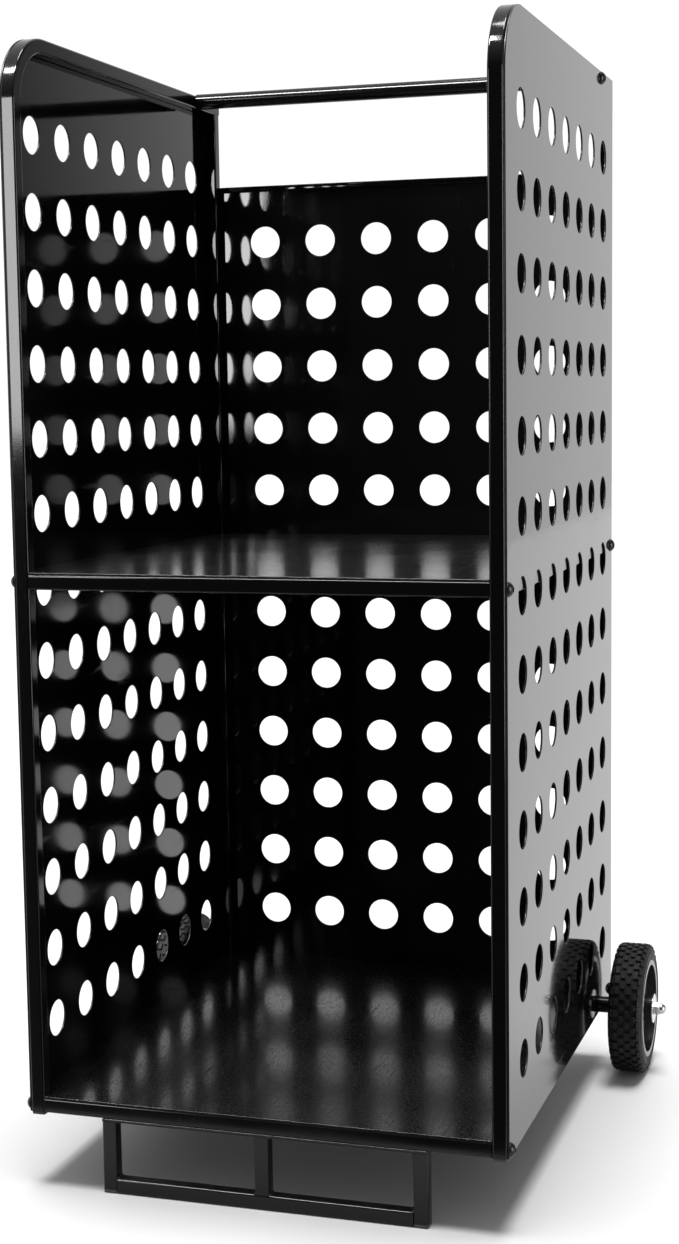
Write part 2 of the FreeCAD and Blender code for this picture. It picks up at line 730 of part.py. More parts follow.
def draw_window(sketch):
    """The opening between two spokes: an arc near the hub, an arc near the rim and two straight sides."""
    half = math.radians(180 / SIZES["spokes"] - SIZES["spoke_angle"] / 2)
    radii = ("Sizes.rim_window", "(Sizes.rim_edge - Sizes.tube_corner)")
    middle = math.pi / 2
    across, along = f"{math.sin(half):.6f}", f"{math.cos(half):.6f}"
    for radius in radii:
        circle = Part.Circle(FreeCAD.Vector(), FreeCAD.Vector(0, 0, 1), number(radius))
        element = sketch.addGeometry(Part.ArcOfCircle(circle, middle - half, middle + half))
        sketch.addConstraint(Sketcher.Constraint("Coincident", element, 3, -1, 1))
        pin(sketch, element, 1, f"{radius} * {across}", f"{radius} * {along}")
        pin(sketch, element, 2, f"-{radius} * {across}")
    for side in (-1, 1):
        ends = [(f"{side} * {radius} * {across}", f"{radius} * {along}") for radius in radii]
        points = [FreeCAD.Vector(number(x), number(y), 0) for x, y in ends]
        element = sketch.addGeometry(Part.LineSegment(*points))
        pin(sketch, element, 1, *ends[0])
        pin(sketch, element, 2, *ends[1])


def dome_nut(name):
    """Dome nut along X from the origin: a hexagon, a collar, a half sphere and a blind hole."""
    hexagon = shape("Part::Prism", f"{name}_hexagon", Height="Sizes.nut_hexagon",
                    Circumradius=f"Sizes.nut_flats / 2 / {math.cos(math.pi / 6)}")
    hexagon.Polygon = 6
    place(hexagon, turn=ALONG_X)
    collar = shape("Part::Cylinder", f"{name}_collar", Radius="Sizes.nut_dome",
                   Height="Sizes.nut_length - Sizes.nut_dome")
    place(collar, turn=ALONG_X)
    dome = shape("Part::Sphere", f"{name}_dome", Radius="Sizes.nut_dome")
    place(dome, "Sizes.nut_length - Sizes.nut_dome")
    hole = shape("Part::Cylinder", f"{name}_hole", Radius="Sizes.rod_diameter / 2",
                 Height=f"Sizes.rod_end - {WHEEL_MID} - {WASHER_OUT} - Sizes.washer_thickness")
    place(hole, turn=ALONG_X)
    return cut(name, fuse(f"{name}_solid", [hexagon, collar, dome]), hole)


def axle():
    """Axle tube across the rack, a bush in each of its ends, and the rod that holds the wheels."""
    end = f"({WHEEL_MID} + {WASHER_IN} - Sizes.washer_thickness)"
    outer = "(Sizes.axle_tube_diameter / 2)"
    inner = f"({outer} - Sizes.axle_tube_wall)"
    rod = "(Sizes.rod_diameter / 2)"
    tube = ring("axle_tube", f"-{end}", end, inner, outer)
    keep(place(tube, "0", AXLE_Y, "Sizes.wheel_radius"), "axle_tube")
    bush = ring("axle_bush", "-Sizes.axle_bush_length", "0", rod, inner)
    group("axle_tube_bushes", bush, [
        (f"{sign} * {end}", AXLE_Y, "Sizes.wheel_radius", turn)
        for sign, turn in ((-1, FACING_LEFT), (1, UPRIGHT))
    ])
    bar = shape("Part::Cylinder", "axle_rod", Radius=rod, Height="2 * Sizes.rod_end")
    keep(place(bar, "-Sizes.rod_end", AXLE_Y, "Sizes.wheel_radius", ALONG_X), "axle_rod")


def wheel(side, sign):
    rod = "(Sizes.rod_diameter / 2)"
    washer = "(Sizes.washer_diameter / 2)"
    sleeve = "(Sizes.sleeve_diameter / 2)"
    on_axle(tyre(f"{side}_tyre"), "tyre", side, sign)
    on_axle(rim(f"{side}_rim"), "rim", side, sign)
    on_axle(ring(f"{side}_sleeve", WASHER_IN, WASHER_OUT, rod, sleeve), "wheel_sleeve", side, sign)
    inner = ring(f"{side}_washer_in", f"{WASHER_IN} - Sizes.washer_thickness", WASHER_IN, rod, washer)
    on_axle(inner, "inner_washer", side, sign)
    outer = ring(f"{side}_washer_out", WASHER_OUT, f"{WASHER_OUT} + Sizes.washer_thickness", rod, washer)
    on_axle(outer, "outer_washer", side, sign)
    nut = dome_nut(f"{side}_nut")
    turn = UPRIGHT if sign > 0 else FACING_LEFT
    reach = f"{sign} * ({WHEEL_MID} + {WASHER_OUT} + Sizes.washer_thickness)"
    keep(place(nut, reach, AXLE_Y, "Sizes.wheel_radius", turn), f"{side}_dome_nut")


axle()
for side, sign in SIDES.items():
    wheel(side, sign)


# ---- check and write -------------------------------------------------------------------------------

doc.recompute()
for item in doc.Objects:
    if "Invalid" in item.State or "Error" in item.State:
        raise RuntimeError(f"{item.Label} failed: {item.State}")
os.makedirs("parts", exist_ok=True)
for piece in nodes:
    if piece.Shape.isNull() or not piece.Shape.isValid():
        raise RuntimeError(f"{piece.Label} has no valid shape")
    piece.Shape.exportStep(os.path.join("parts", f"{piece.Label}.step"))
    box = piece.Shape.BoundBox
    print(f"{piece.Label:22s} solids {len(piece.Shape.Solids)} volume {piece.Shape.Volume / 1000:9.2f} cm3",
          f"X {box.XMin:8.2f} {box.XMax:8.2f} Y {box.YMin:8.2f} {box.YMax:8.2f}",
          f"Z {box.ZMin:8.2f} {box.ZMax:8.2f}")
print(len(nodes), "nodes")
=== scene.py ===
"""The looks of a firewood log rack: black powder coated steel, rubber tyres and zinc fittings."""
import math

import bmesh
import bpy
from mathutils import Euler, Matrix, Vector


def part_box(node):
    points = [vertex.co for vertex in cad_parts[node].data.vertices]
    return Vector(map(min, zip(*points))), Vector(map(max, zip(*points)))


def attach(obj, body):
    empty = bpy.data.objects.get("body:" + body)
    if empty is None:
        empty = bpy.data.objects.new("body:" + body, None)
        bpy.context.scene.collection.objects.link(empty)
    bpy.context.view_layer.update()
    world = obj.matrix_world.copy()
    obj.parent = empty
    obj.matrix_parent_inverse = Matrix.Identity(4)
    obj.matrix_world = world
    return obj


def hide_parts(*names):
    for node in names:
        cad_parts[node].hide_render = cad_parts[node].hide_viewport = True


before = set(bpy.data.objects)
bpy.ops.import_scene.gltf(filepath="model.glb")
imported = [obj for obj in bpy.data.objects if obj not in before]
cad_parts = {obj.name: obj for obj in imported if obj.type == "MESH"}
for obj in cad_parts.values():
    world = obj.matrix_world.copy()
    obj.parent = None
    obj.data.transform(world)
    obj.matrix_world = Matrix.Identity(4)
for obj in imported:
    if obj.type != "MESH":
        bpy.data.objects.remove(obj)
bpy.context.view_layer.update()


# ---- side frames -----------------------------------------------------------------------------------
# Square steel tube, 15 mm with small round corners, bent at the top front and welded at the rails.
# The frame is powder coated gloss black: a thick skin with a faint orange peel and a little dust.

MM = 0.001
ROOT = "root"
SIDES = {"left": -1, "right": 1}


def add_node(tree, kind, inputs=(), **settings):
    """Adds a node to a tree. An input gets a plain value, or a link from another node's output."""
    node = tree.nodes.new(kind)
    for name, value in settings.items():
        setattr(node, name, value)
    for socket, value in dict(inputs).items():
        if isinstance(value, bpy.types.NodeSocket):
            tree.links.new(value, node.inputs[socket])
        else:
            node.inputs[socket].default_value = value
    return node


def new_material(name):
    """A material with an object-space coordinate, and its Principled shader."""
    material = bpy.data.materials.new(name)
    material.use_nodes = True
    tree = material.node_tree
    shader = tree.nodes["Principled BSDF"]
    place = add_node(tree, "ShaderNodeTexCoord").outputs["Object"]
    return material, tree, shader, place


def spread(tree, value, low, high, start=0.0, end=1.0):
    """Maps a 0-1 value from start..end to low..high."""
    settings = {"Value": value, "From Min": start, "From Max": end, "To Min": low, "To Max": high}
    return add_node(tree, "ShaderNodeMapRange", settings).outputs["Result"]


def noise(tree, place, scale, detail=2.0, stretch=(1.0, 1.0, 1.0)):
    """Noise on the object's own coordinates; scale is in patches per metre."""
    mapped = add_node(tree, "ShaderNodeMapping", {
        "Vector": place, "Scale": stretch}).outputs["Vector"]
    inputs = {"Vector": mapped, "Scale": scale, "Detail": detail}
    return add_node(tree, "ShaderNodeTexNoise", inputs).outputs["Fac"]


def powder_coat(name, base=0.0015, gloss=0.07, dust=0.3, peel=0.035, scratch=0.05, index=1.34):
    """Black powder coat. Dust lies on faces that look up; scratches and smears dull the gloss."""
    material, tree, shader, place = new_material(name)
    smear = noise(tree, place, 9.0, 5.0)
    hairline = noise(tree, place, 260.0, 4.0, (1.0, 0.06, 0.35))
    scratched = spread(tree, hairline, 0.0, scratch, 0.62, 0.70)
    peel_noise = noise(tree, place, 620.0, 1.0)
    speck = noise(tree, place, 900.0, 6.0)
    facing = add_node(tree, "ShaderNodeNewGeometry").outputs["Normal"]
    up = add_node(tree, "ShaderNodeSeparateXYZ", {"Vector": facing}).outputs["Z"]
    lies = spread(tree, up, 0.0, dust, 0.4, 1.0)
    patch = spread(tree, speck, 0.0, 1.0, 0.5, 0.75)
    dusty = add_node(tree, "ShaderNodeMath", {0: lies, 1: patch}, operation="MULTIPLY").outputs[0]
    colour = add_node(tree, "ShaderNodeMix", {
        "Factor": dusty,
        "A": (base, base, base * 1.05, 1.0),
        "B": (0.035, 0.033, 0.03, 1.0),
    }, data_type="RGBA").outputs["Result"]
    tree.links.new(colour, shader.inputs["Base Color"])
    rough = spread(tree, smear, gloss - 0.02, gloss + 0.05, 0.3, 0.7)
    rough = add_node(tree, "ShaderNodeMath", {0: rough, 1: scratched}, operation="ADD").outputs[0]
    rough = add_node(tree, "ShaderNodeMath", {0: rough, 1: dusty},
                     operation="ADD", use_clamp=True).outputs[0]
    tree.links.new(rough, shader.inputs["Roughness"])
    bump = add_node(tree, "ShaderNodeBump", {
        "Height": peel_noise, "Strength": peel, "Distance": 0.0002})
    tree.links.new(bump.outputs["Normal"], shader.inputs["Normal"])
    shader.inputs["IOR"].default_value = index
    shader.inputs["Metallic"].default_value = 0.0
    return material


def make_plain(piece):
    """Turns what the modifiers give into the piece's own mesh."""
    depsgraph = bpy.context.evaluated_depsgraph_get()
    mesh = bpy.data.meshes.new_from_object(piece.evaluated_get(depsgraph), depsgraph=depsgraph)
    piece.modifiers.clear()
    piece.data = mesh
    return mesh


def settle(piece, body=ROOT, stands_for=()):
    """Makes a piece plain and puts it on its body."""
    make_plain(piece).name = piece.name
    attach(piece, body)
    if stands_for:
        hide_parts(*stands_for)
    return piece


def bare_copy(node):
    """A merged copy of a CAD node's mesh, with its flat faces in one piece again."""
    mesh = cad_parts[node].data.copy()
    shell = bmesh.new()
    shell.from_mesh(mesh)
    bmesh.ops.remove_doubles(shell, verts=shell.verts, dist=0.002 * MM)
    bmesh.ops.dissolve_limit(shell, angle_limit=math.radians(0.05),
                             verts=shell.verts, edges=shell.edges)
    for face in shell.faces:
        face.smooth = True
    shell.to_mesh(mesh)
    shell.free()
    return mesh


def dressed(node, material, bevel=0.3, body=ROOT, name=None):
    """The CAD node again with softened edges and smooth round faces, in its finish."""
    mesh = bare_copy(node)
    mesh.materials.clear()
    mesh.materials.append(material)
    piece = bpy.data.objects.new(name or f"{node}_finished", mesh)
    bpy.context.scene.collection.objects.link(piece)
    if bevel:
        edge = piece.modifiers.new("soft edges", "BEVEL")
        edge.width = bevel * MM
        edge.segments = 2
        edge.limit_method = "ANGLE"
        edge.angle_limit = math.radians(40)
    mesh.set_sharp_from_angle(angle=math.radians(35))
    even = piece.modifiers.new("even shading", "WEIGHTED_NORMAL")
    even.keep_sharp = True
    return settle(piece, body, (node,))


tube_coat = powder_coat("powder coat on tube")
for side in SIDES:
    for part in ("side_tube", "rear_post", "mid_rail", "bottom_rail"):
        dressed(f"{side}_{part}", tube_coat, bevel=0)


# ---- perforated panels -----------------------------------------------------------------------------
# Laser cut 2 mm steel sheet with a grid of round holes. The side panels are welded to the outside of
# the side frames and follow the tube's bend; the back panel is screwed to the rear posts.

def perforated_sheet():
    """Node group: a sheet in the XY plane, with one round corner and a grid of holes."""
    tree = bpy.data.node_groups.new("perforated sheet", "GeometryNodeTree")
    tree.interface.new_socket("Geometry", in_out="OUTPUT", socket_type="NodeSocketGeometry")
    names = ("Width", "Height", "Corner Radius", "Hole Diameter", "First Column", "First Row",
             "Column Pitch", "Row Pitch")
    for name in names:
        tree.interface.new_socket(name, in_out="INPUT", socket_type="NodeSocketFloat")
    for name in ("Columns", "Rows", "Hole Facets"):
        tree.interface.new_socket(name, in_out="INPUT", socket_type="NodeSocketInt")
    tree.interface.new_socket("Material", in_out="INPUT", socket_type="NodeSocketMaterial")
    given = tree.nodes.new("NodeGroupInput").outputs

    def maths(operation, first, second):
        return add_node(tree, "ShaderNodeMath", {0: first, 1: second}, operation=operation).outputs[0]

    half_width = maths("DIVIDE", given["Width"], 2.0)
    half_height = maths("DIVIDE", given["Height"], 2.0)
    outline = add_node(tree, "GeometryNodeCurvePrimitiveQuadrilateral",
                       {"Width": given["Width"], "Height": given["Height"]})
    corner = add_node(tree, "GeometryNodeInputPosition").outputs[0]
    corner_parts = add_node(tree, "ShaderNodeSeparateXYZ", {"Vector": corner}).outputs
    in_front = maths("LESS_THAN", corner_parts["X"], 0.0)
    on_top = maths("GREATER_THAN", corner_parts["Y"], 0.0)
    chosen = maths("MULTIPLY", in_front, on_top)
    radius = maths("MULTIPLY", chosen, given["Corner Radius"])
    rounded = add_node(tree, "GeometryNodeFilletCurve", {
        "Curve": outline.outputs["Curve"], "Radius": radius, "Count": 24}, mode="POLY")
    centre = add_node(tree, "ShaderNodeCombineXYZ", {"X": half_width, "Y": half_height}).outputs[0]
    edge = add_node(tree, "GeometryNodeTransform", {
        "Geometry": rounded.outputs["Curve"], "Translation": centre}).outputs[0]
    span_x = maths("MULTIPLY", maths("SUBTRACT", given["Columns"], 1.0), given["Column Pitch"])
    span_y = maths("MULTIPLY", maths("SUBTRACT", given["Rows"], 1.0), given["Row Pitch"])
    grid = add_node(tree, "GeometryNodeMeshGrid", {
        "Size X": span_x, "Size Y": span_y,
        "Vertices X": given["Columns"], "Vertices Y": given["Rows"]})
    grid_x = maths("ADD", given["First Column"], maths("DIVIDE", span_x, 2.0))
    grid_y = maths("ADD", given["First Row"], maths("DIVIDE", span_y, 2.0))
    grid_centre = add_node(tree, "ShaderNodeCombineXYZ", {"X": grid_x, "Y": grid_y}).outputs[0]
    places = add_node(tree, "GeometryNodeTransform", {
        "Geometry": grid.outputs["Mesh"], "Translation": grid_centre}).outputs[0]
    hole = add_node(tree, "GeometryNodeCurvePrimitiveCircle", {
        "Resolution": given["Hole Facets"], "Radius": maths("DIVIDE", given["Hole Diameter"], 2.0)})
    holes = add_node(tree, "GeometryNodeInstanceOnPoints", {
        "Points": places, "Instance": hole.outputs["Curve"]}).outputs["Instances"]
    rings = add_node(tree, "GeometryNodeRealizeInstances", {"Geometry": holes}).outputs[0]
    curves = tree.nodes.new("GeometryNodeJoinGeometry")
    tree.links.new(edge, curves.inputs[0])
    tree.links.new(rings, curves.inputs[0])
    filled = add_node(tree, "GeometryNodeFillCurve", {"Curve": curves.outputs[0]},
                      mode="NGONS").outputs[0]
    solid = add_node(tree, "GeometryNodeRealizeInstances", {"Geometry": filled}).outputs[0]
    painted = add_node(tree, "GeometryNodeSetMaterial", {
        "Geometry": solid, "Material": given["Material"]}).outputs[0]
    result = tree.nodes.new("NodeGroupOutput")
    tree.links.new(painted, result.inputs[0])
    return tree


def run_nodes(piece, tree, values):
    """Gives a piece the node group as its modifier, each input set by its socket's identifier."""
    modifier = piece.modifiers.new(tree.name, "NODES")
    modifier.node_group = tree
    for item in tree.interface.items_tree:
        if item.in_out == "INPUT" and item.name in values:
            modifier[item.identifier] = values[item.name]
    return modifier


def empty_piece(name):
    """An object without faces yet, for a node group to fill."""
    piece = bpy.data.objects.new(name, bpy.data.meshes.new(name))
    bpy.context.scene.collection.objects.link(piece)
    return piece


def panel(name, turn, corner, sizes):
    """One perforated panel. turn sets its plane, corner is its lowest point."""
    piece = empty_piece(name)
    run_nodes(piece, sheet_tree, sizes)
    mesh = make_plain(piece)
    mesh.transform(Matrix.Translation(corner) @ turn.to_matrix().to_4x4())
    wall = piece.modifiers.new("sheet", "SOLIDIFY")
    wall.thickness = sizes["Sheet"]
    wall.offset = 0.0
    edge = piece.modifiers.new("deburred edges", "BEVEL")
    edge.width = 0.35 * MM
    edge.segments = 1
    edge.use_clamp_overlap = False
    edge.limit_method = "ANGLE"
    edge.angle_limit = math.radians(50)
    mesh = make_plain(piece)
    mesh.materials.append(cut_coat)
    across = turn.to_matrix() @ Vector((0.0, 0.0, 1.0))
    for face in mesh.polygons:
        face.use_smooth = True
        if abs(face.normal.dot(across)) < 0.3:
            face.material_index = 1
    mesh.set_sharp_from_angle(angle=math.radians(60))
    even = piece.modifiers.new("even shading", "WEIGHTED_NORMAL")
    even.keep_sharp = True
    return piece


sheet = 2.0 * MM
sheet_coat = powder_coat("powder coat on sheet", gloss=0.05, peel=0.025, index=1.42)
cut_coat = powder_coat("powder coat on cut edges", gloss=0.34, peel=0.2, dust=0.15)
sheet_tree = perforated_sheet()
corner_radius = 68.5 * MM
hole_diameter = 37.5 * MM
hole_facets = 64
first_column = 67.5 * MM
side_pitch = 72.0 * MM
back_pitch = 70.5 * MM
row_pitch = 75.5 * MM
lowest_row = 155.0 * MM
post_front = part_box("left_side_tube")[0].y
for side in SIDES:
    low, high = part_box(f"{side}_side_panel")
    middle = (low.x + high.x) / 2
    piece = panel(f"{side}_side_panel_sheet", Euler((math.pi / 2, 0, math.pi / 2)),
                  Vector((middle, low.y, low.z)), {
        "Sheet": sheet,
        "Width": high.y - low.y,
        "Height": high.z - low.z,
        "Corner Radius": corner_radius,
        "Hole Diameter": hole_diameter,
        "First Column": post_front + first_column - low.y,
        "First Row": lowest_row - low.z,
        "Column Pitch": side_pitch,
        "Row Pitch": row_pitch,
        "Columns": 7,
        "Rows": 13,
        "Hole Facets": hole_facets,
        "Material": sheet_coat,
    })
    settle(piece, ROOT, (f"{side}_side_panel",))

# The back panel's top edge is folded over to the inside as a flat hem.
back_columns = 6
low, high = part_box("back_panel")
piece = panel("back_panel_sheet", Euler((math.pi / 2, 0, 0)),
              Vector((low.x, high.y - sheet / 2, low.z)), {
    "Sheet": sheet,
    "Width": high.x - low.x,
    "Height": high.z - low.z,
    "Corner Radius": 0.0,
    "Hole Diameter": hole_diameter,
    "First Column": (high.x - low.x) / 2 - (back_columns - 1) / 2 * back_pitch,
    "First Row": lowest_row - low.z,
    "Column Pitch": back_pitch,
    "Row Pitch": row_pitch,
    "Columns": back_columns,
    "Rows": 12,
    "Hole Facets": hole_facets,
    "Material": sheet_coat,
})
settle(piece, ROOT, ("back_panel",))


def rounded_box(shell, low, high, radius, segments=3):
    """Adds a box with round edges to a bmesh."""
    made = bmesh.ops.create_cube(shell, size=1.0)
    verts = made["verts"]
    size = high - low
    bmesh.ops.scale(shell, vec=size, verts=verts)
    bmesh.ops.translate(shell, vec=(low + high) / 2, verts=verts)
    edges = list({edge for vert in verts for edge in vert.link_edges})
    bmesh.ops.bevel(shell, geom=edges, offset=radius, segments=segments, affect="EDGES", profile=0.5)


def piece_from(name, shell, material):
    """A smooth-shaded object from a bmesh."""
    for face in shell.faces:
        face.smooth = True
    mesh = bpy.data.meshes.new(name)
    shell.to_mesh(mesh)
    shell.free()
    mesh.materials.append(material)
    piece = bpy.data.objects.new(name, mesh)
    bpy.context.scene.collection.objects.link(piece)
    return piece


hem_end = 16.5 * MM
hem_height = 7.0 * MM
hem_round = 0.9 * MM
hem = bmesh.new()
rounded_box(hem, Vector((low.x + hem_end, low.y, high.z - hem_height)),
            Vector((high.x - hem_end, high.y - sheet, high.z)), hem_round)
settle(piece_from("back_panel_hem", hem, sheet_coat), ROOT)


# ---- shelf and floor -------------------------------------------------------------------------------
# Each level is a front bar, a rear bar and a plain 2 mm plate on top, notched at the posts.
# Logs slide over the plates, so these are dustier and more scuffed than the rest.

deck_coat = powder_coat("powder coat on deck", gloss=0.12, dust=0.45, peel=0.05, scratch=0.08)
for level in ("shelf", "floor"):
    for place in ("front", "rear"):
        dressed(f"{level}_{place}_bar", tube_coat, bevel=0)
    dressed(f"{level}_plate", deck_coat, bevel=0.4)


# ---- handle ----------------------------------------------------------------------------------------
# An 18 mm round steel tube between the top rails, in the same powder coat, rubbed a little by hands.
# A button head bolt at each end goes through the rail into an insert in the tube.

handle_coat = powder_coat("powder coat on handle", gloss=0.14, dust=0.15)
dressed("handle_bar", handle_coat, bevel=0)


# ---- front foot ------------------------------------------------------------------------------------
# A welded frame of the same square tube that lifts the front of the rack off the ground.
# Plastic plugs close the lower ends of its outer uprights.

for part in ("left_upright", "middle_upright", "right_upright", "bottom_tube"):
    dressed(f"foot_{part}", tube_coat, bevel=0)
dressed("foot_top_strip", tube_coat, bevel=0.5)


# ---- welds -----------------------------------------------------------------------------------------
# Fillet welds under the powder coat, laid as overlapping round drops along each seam: at the foot's
# corners, where the rails meet the posts, and round the axle tube under the lower rails.

def weld_group():
    """Node group: round drops of slightly random size along every edge of the mesh that it is given.
    """
    tree = bpy.data.node_groups.new("weld beads", "GeometryNodeTree")
    tree.interface.new_socket("Geometry", in_out="OUTPUT", socket_type="NodeSocketGeometry")
    tree.interface.new_socket("Geometry", in_out="INPUT", socket_type="NodeSocketGeometry")
    for name in ("Step", "Bead Radius", "Unevenness"):
        tree.interface.new_socket(name, in_out="INPUT", socket_type="NodeSocketFloat")
    tree.interface.new_socket("Seed", in_out="INPUT", socket_type="NodeSocketInt")
    tree.interface.new_socket("Material", in_out="INPUT", socket_type="NodeSocketMaterial")
    given = tree.nodes.new("NodeGroupInput").outputs
    seams = add_node(tree, "GeometryNodeMeshToCurve", {"Mesh": given["Geometry"]}).outputs[0]
    along = add_node(tree, "GeometryNodeCurveToPoints", {"Curve": seams, "Length": given["Step"]},
                     mode="LENGTH")
    drop = add_node(tree, "GeometryNodeMeshIcoSphere", {
        "Radius": given["Bead Radius"], "Subdivisions": 3})
    low = add_node(tree, "ShaderNodeMath", {0: 1.0, 1: given["Unevenness"]},
                   operation="SUBTRACT").outputs[0]
    high = add_node(tree, "ShaderNodeMath", {0: 1.0, 1: given["Unevenness"]},
                    operation="ADD").outputs[0]
    size = add_node(tree, "FunctionNodeRandomValue", {"Min": low, "Max": high, "Seed": given["Seed"]},
                    data_type="FLOAT").outputs["Value"]
    beads = add_node(tree, "GeometryNodeInstanceOnPoints", {
        "Points": along.outputs["Points"], "Instance": drop.outputs["Mesh"],
        "Rotation": along.outputs["Rotation"], "Scale": size}).outputs["Instances"]
    solid = add_node(tree, "GeometryNodeRealizeInstances", {"Geometry": beads}).outputs[0]
    painted = add_node(tree, "GeometryNodeSetMaterial", {
        "Geometry": solid, "Material": given["Material"]})
    result = tree.nodes.new("NodeGroupOutput")
    tree.links.new(painted.outputs[0], result.inputs[0])
    return tree


def weld_line(name, seams, radius, step=1.4 * MM, seed=3):
    """Beads along straight seams, each a pair of end points."""
    mesh = bpy.data.meshes.new(name)
    points = [point for seam in seams for point in seam]
    mesh.from_pydata(points, [(index, index + 1) for index in range(0, len(points), 2)], [])
    piece = bpy.data.objects.new(name, mesh)
    bpy.context.scene.collection.objects.link(piece)
    run_nodes(piece, weld_tree, {
        "Step": step, "Bead Radius": radius, "Unevenness": 0.12, "Seed": seed, "Material": weld_coat})
    make_plain(piece)
    for face in piece.data.polygons:
        face.use_smooth = True
    return settle(piece, ROOT)


weld_coat = powder_coat("powder coat on welds", gloss=0.16, peel=0.12, dust=0.2)
weld_tree = weld_group()
inset = 1.2 * MM

# foot: both sides of the middle upright and the inner side of each outer upright, at the ground tube
# and under the top strip
ground_tube_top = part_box("foot_bottom_tube")[1].z
strip_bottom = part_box("foot_top_strip")[0].z
seams = []
for part in ("left", "middle", "right"):
    low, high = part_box(f"foot_{part}_upright")
    for x, outer in ((low.x, part == "left"), (high.x, part == "right")):
        for z in (ground_tube_top, strip_bottom):
            if not outer:
                seams.append(((x, low.y + inset, z), (x, high.y - inset, z)))
weld_line("foot_welds", seams, 1.1 * MM, seed=3)

# side frames: the rails' inner corners at the posts
seams = []
for side, sign in SIDES.items():
    for rail in ("mid", "bottom"):
        low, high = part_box(f"{side}_{rail}_rail")
        inner = low.x if sign > 0 else high.x
        for y in (low.y, high.y):
            seams.append(((inner, y, low.z + inset), (inner, y, high.z - inset)))
weld_line("side_frame_welds", seams, 1.1 * MM, seed=5)

# axle: a short run each side of the tube where it crosses under the lower rails
axle_low, axle_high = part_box("axle_tube")
axle_y = (axle_low.y + axle_high.y) / 2
axle_z = (axle_low.z + axle_high.z) / 2
axle_radius = (axle_high.y - axle_low.y) / 2
seams = []
for side in SIDES:
    low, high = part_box(f"{side}_bottom_rail")
    reach = math.sqrt(axle_radius ** 2 - (low.z - axle_z) ** 2)
    for way in (-1, 1):
        y = axle_y + way * reach
        seams.append(((low.x + inset, y, low.z), (high.x - inset, y, low.z)))
weld_line("axle_welds", seams, 1.3 * MM, seed=7)


# ---- plugs, inserts, bolts and screws --------------------------------------------------------------
# Moulded plastic plugs close the tube ends. Black M8 button head bolts with hexagon sockets hold the
# cross bars and the handle, and pan head screws hold the back panel.

def moulded_plastic(name, base, rough):
    """Black moulded plastic with a fine grain and slightly paler rubbed spots."""
    material, tree, shader, place = new_material(name)
    rubbed = noise(tree, place, 60.0, 4.0)
    colour = add_node(tree, "ShaderNodeMix", {
        "Factor": spread(tree, rubbed, 0.0, 1.0, 0.55, 0.8),
        "A": (base, base, base, 1.0),
        "B": (base * 2.2, base * 2.2, base * 2.3, 1.0),
    }, data_type="RGBA").outputs["Result"]
    tree.links.new(colour, shader.inputs["Base Color"])
    dulled = spread(tree, rubbed, rough - 0.06, rough + 0.08, 0.3, 0.7)
    tree.links.new(dulled, shader.inputs["Roughness"])
    grain = noise(tree, place, 1500.0, 2.0)
    bump = add_node(tree, "ShaderNodeBump", {"Height": grain, "Strength": 0.15, "Distance": 0.0002})
    tree.links.new(bump.outputs["Normal"], shader.inputs["Normal"])
    return material


def plated_steel(name, base, rough):
    """Zinc plated steel: bright, with soft cloudy patches and turning marks."""
    material, tree, shader, place = new_material(name)
    cloud = noise(tree, place, 180.0, 4.0)
    colour = add_node(tree, "ShaderNodeMix", {
        "Factor": cloud,
        "A": (base * 0.82, base * 0.82, base * 0.8, 1.0),
        "B": (base, base, base * 0.99, 1.0),
    }, data_type="RGBA").outputs["Result"]
    tree.links.new(colour, shader.inputs["Base Color"])
    dulled = spread(tree, cloud, rough - 0.05, rough + 0.08, 0.3, 0.7)
    tree.links.new(dulled, shader.inputs["Roughness"])
    shader.inputs["Metallic"].default_value = 1.0
    marks = noise(tree, place, 2400.0, 2.0, (1.0, 0.15, 0.15))
    bump = add_node(tree, "ShaderNodeBump", {"Height": marks, "Strength": 0.08, "Distance": 0.0001})
    tree.links.new(bump.outputs["Normal"], shader.inputs["Normal"])
    return material


plug_plastic = moulded_plastic("plug plastic", 0.012, 0.45)
for node in ("tube_end_plugs", "foot_end_plugs"):
    dressed(node, plug_plastic, bevel=0.8)

black_oxide = powder_coat("black fastener finish", base=0.004, gloss=0.22, peel=0.12, dust=0.1)
for node in ("shelf_bolts", "floor_bolts", "handle_bolts"):
    dressed(node, black_oxide, bevel=0.35)
dressed("back_panel_screws", black_oxide, bevel=0.9)

insert_steel = plated_steel("insert steel", 0.6, 0.32)
for node in ("bar_inserts", "handle_inserts"):
    dressed(node, insert_steel, bevel=0.2)


# ---- axle ------------------------------------------------------------------------------------------
# A black steel tube across the rack under the lower rails; a zinc plated rod runs through it in two
# plastic bushes and carries a steel sleeve, two washers and a dome nut at each end.

dressed("axle_tube", tube_coat, bevel=0.4)
dressed("axle_tube_bushes", moulded_plastic("bush plastic", 0.02, 0.4), bevel=0.3)
bright_zinc = plated_steel("bright zinc plate", 0.5, 0.13)
dressed("axle_rod", bright_zinc, bevel=0.4)
for side in SIDES:
    for part, bevel in (("wheel_sleeve", 0.2), ("inner_washer", 0.3),
                        ("outer_washer", 0.3), ("dome_nut", 0.4)):
        dressed(f"{side}_{part}", bright_zinc, bevel=bevel)


# ---- wheels ----------------------------------------------------------------------------------------
# Black moulded rims with five spokes, and solid rubber tyres. The tread is four staggered rows of
# blocks and a row of lugs on each shoulder; a raised ring runs round each sidewall.

rim_plastic = moulded_plastic("rim plastic", 0.012, 0.22)
for side in SIDES:
    dressed(f"{side}_rim", rim_plastic, bevel=0.7, body=f"{side}_wheel")


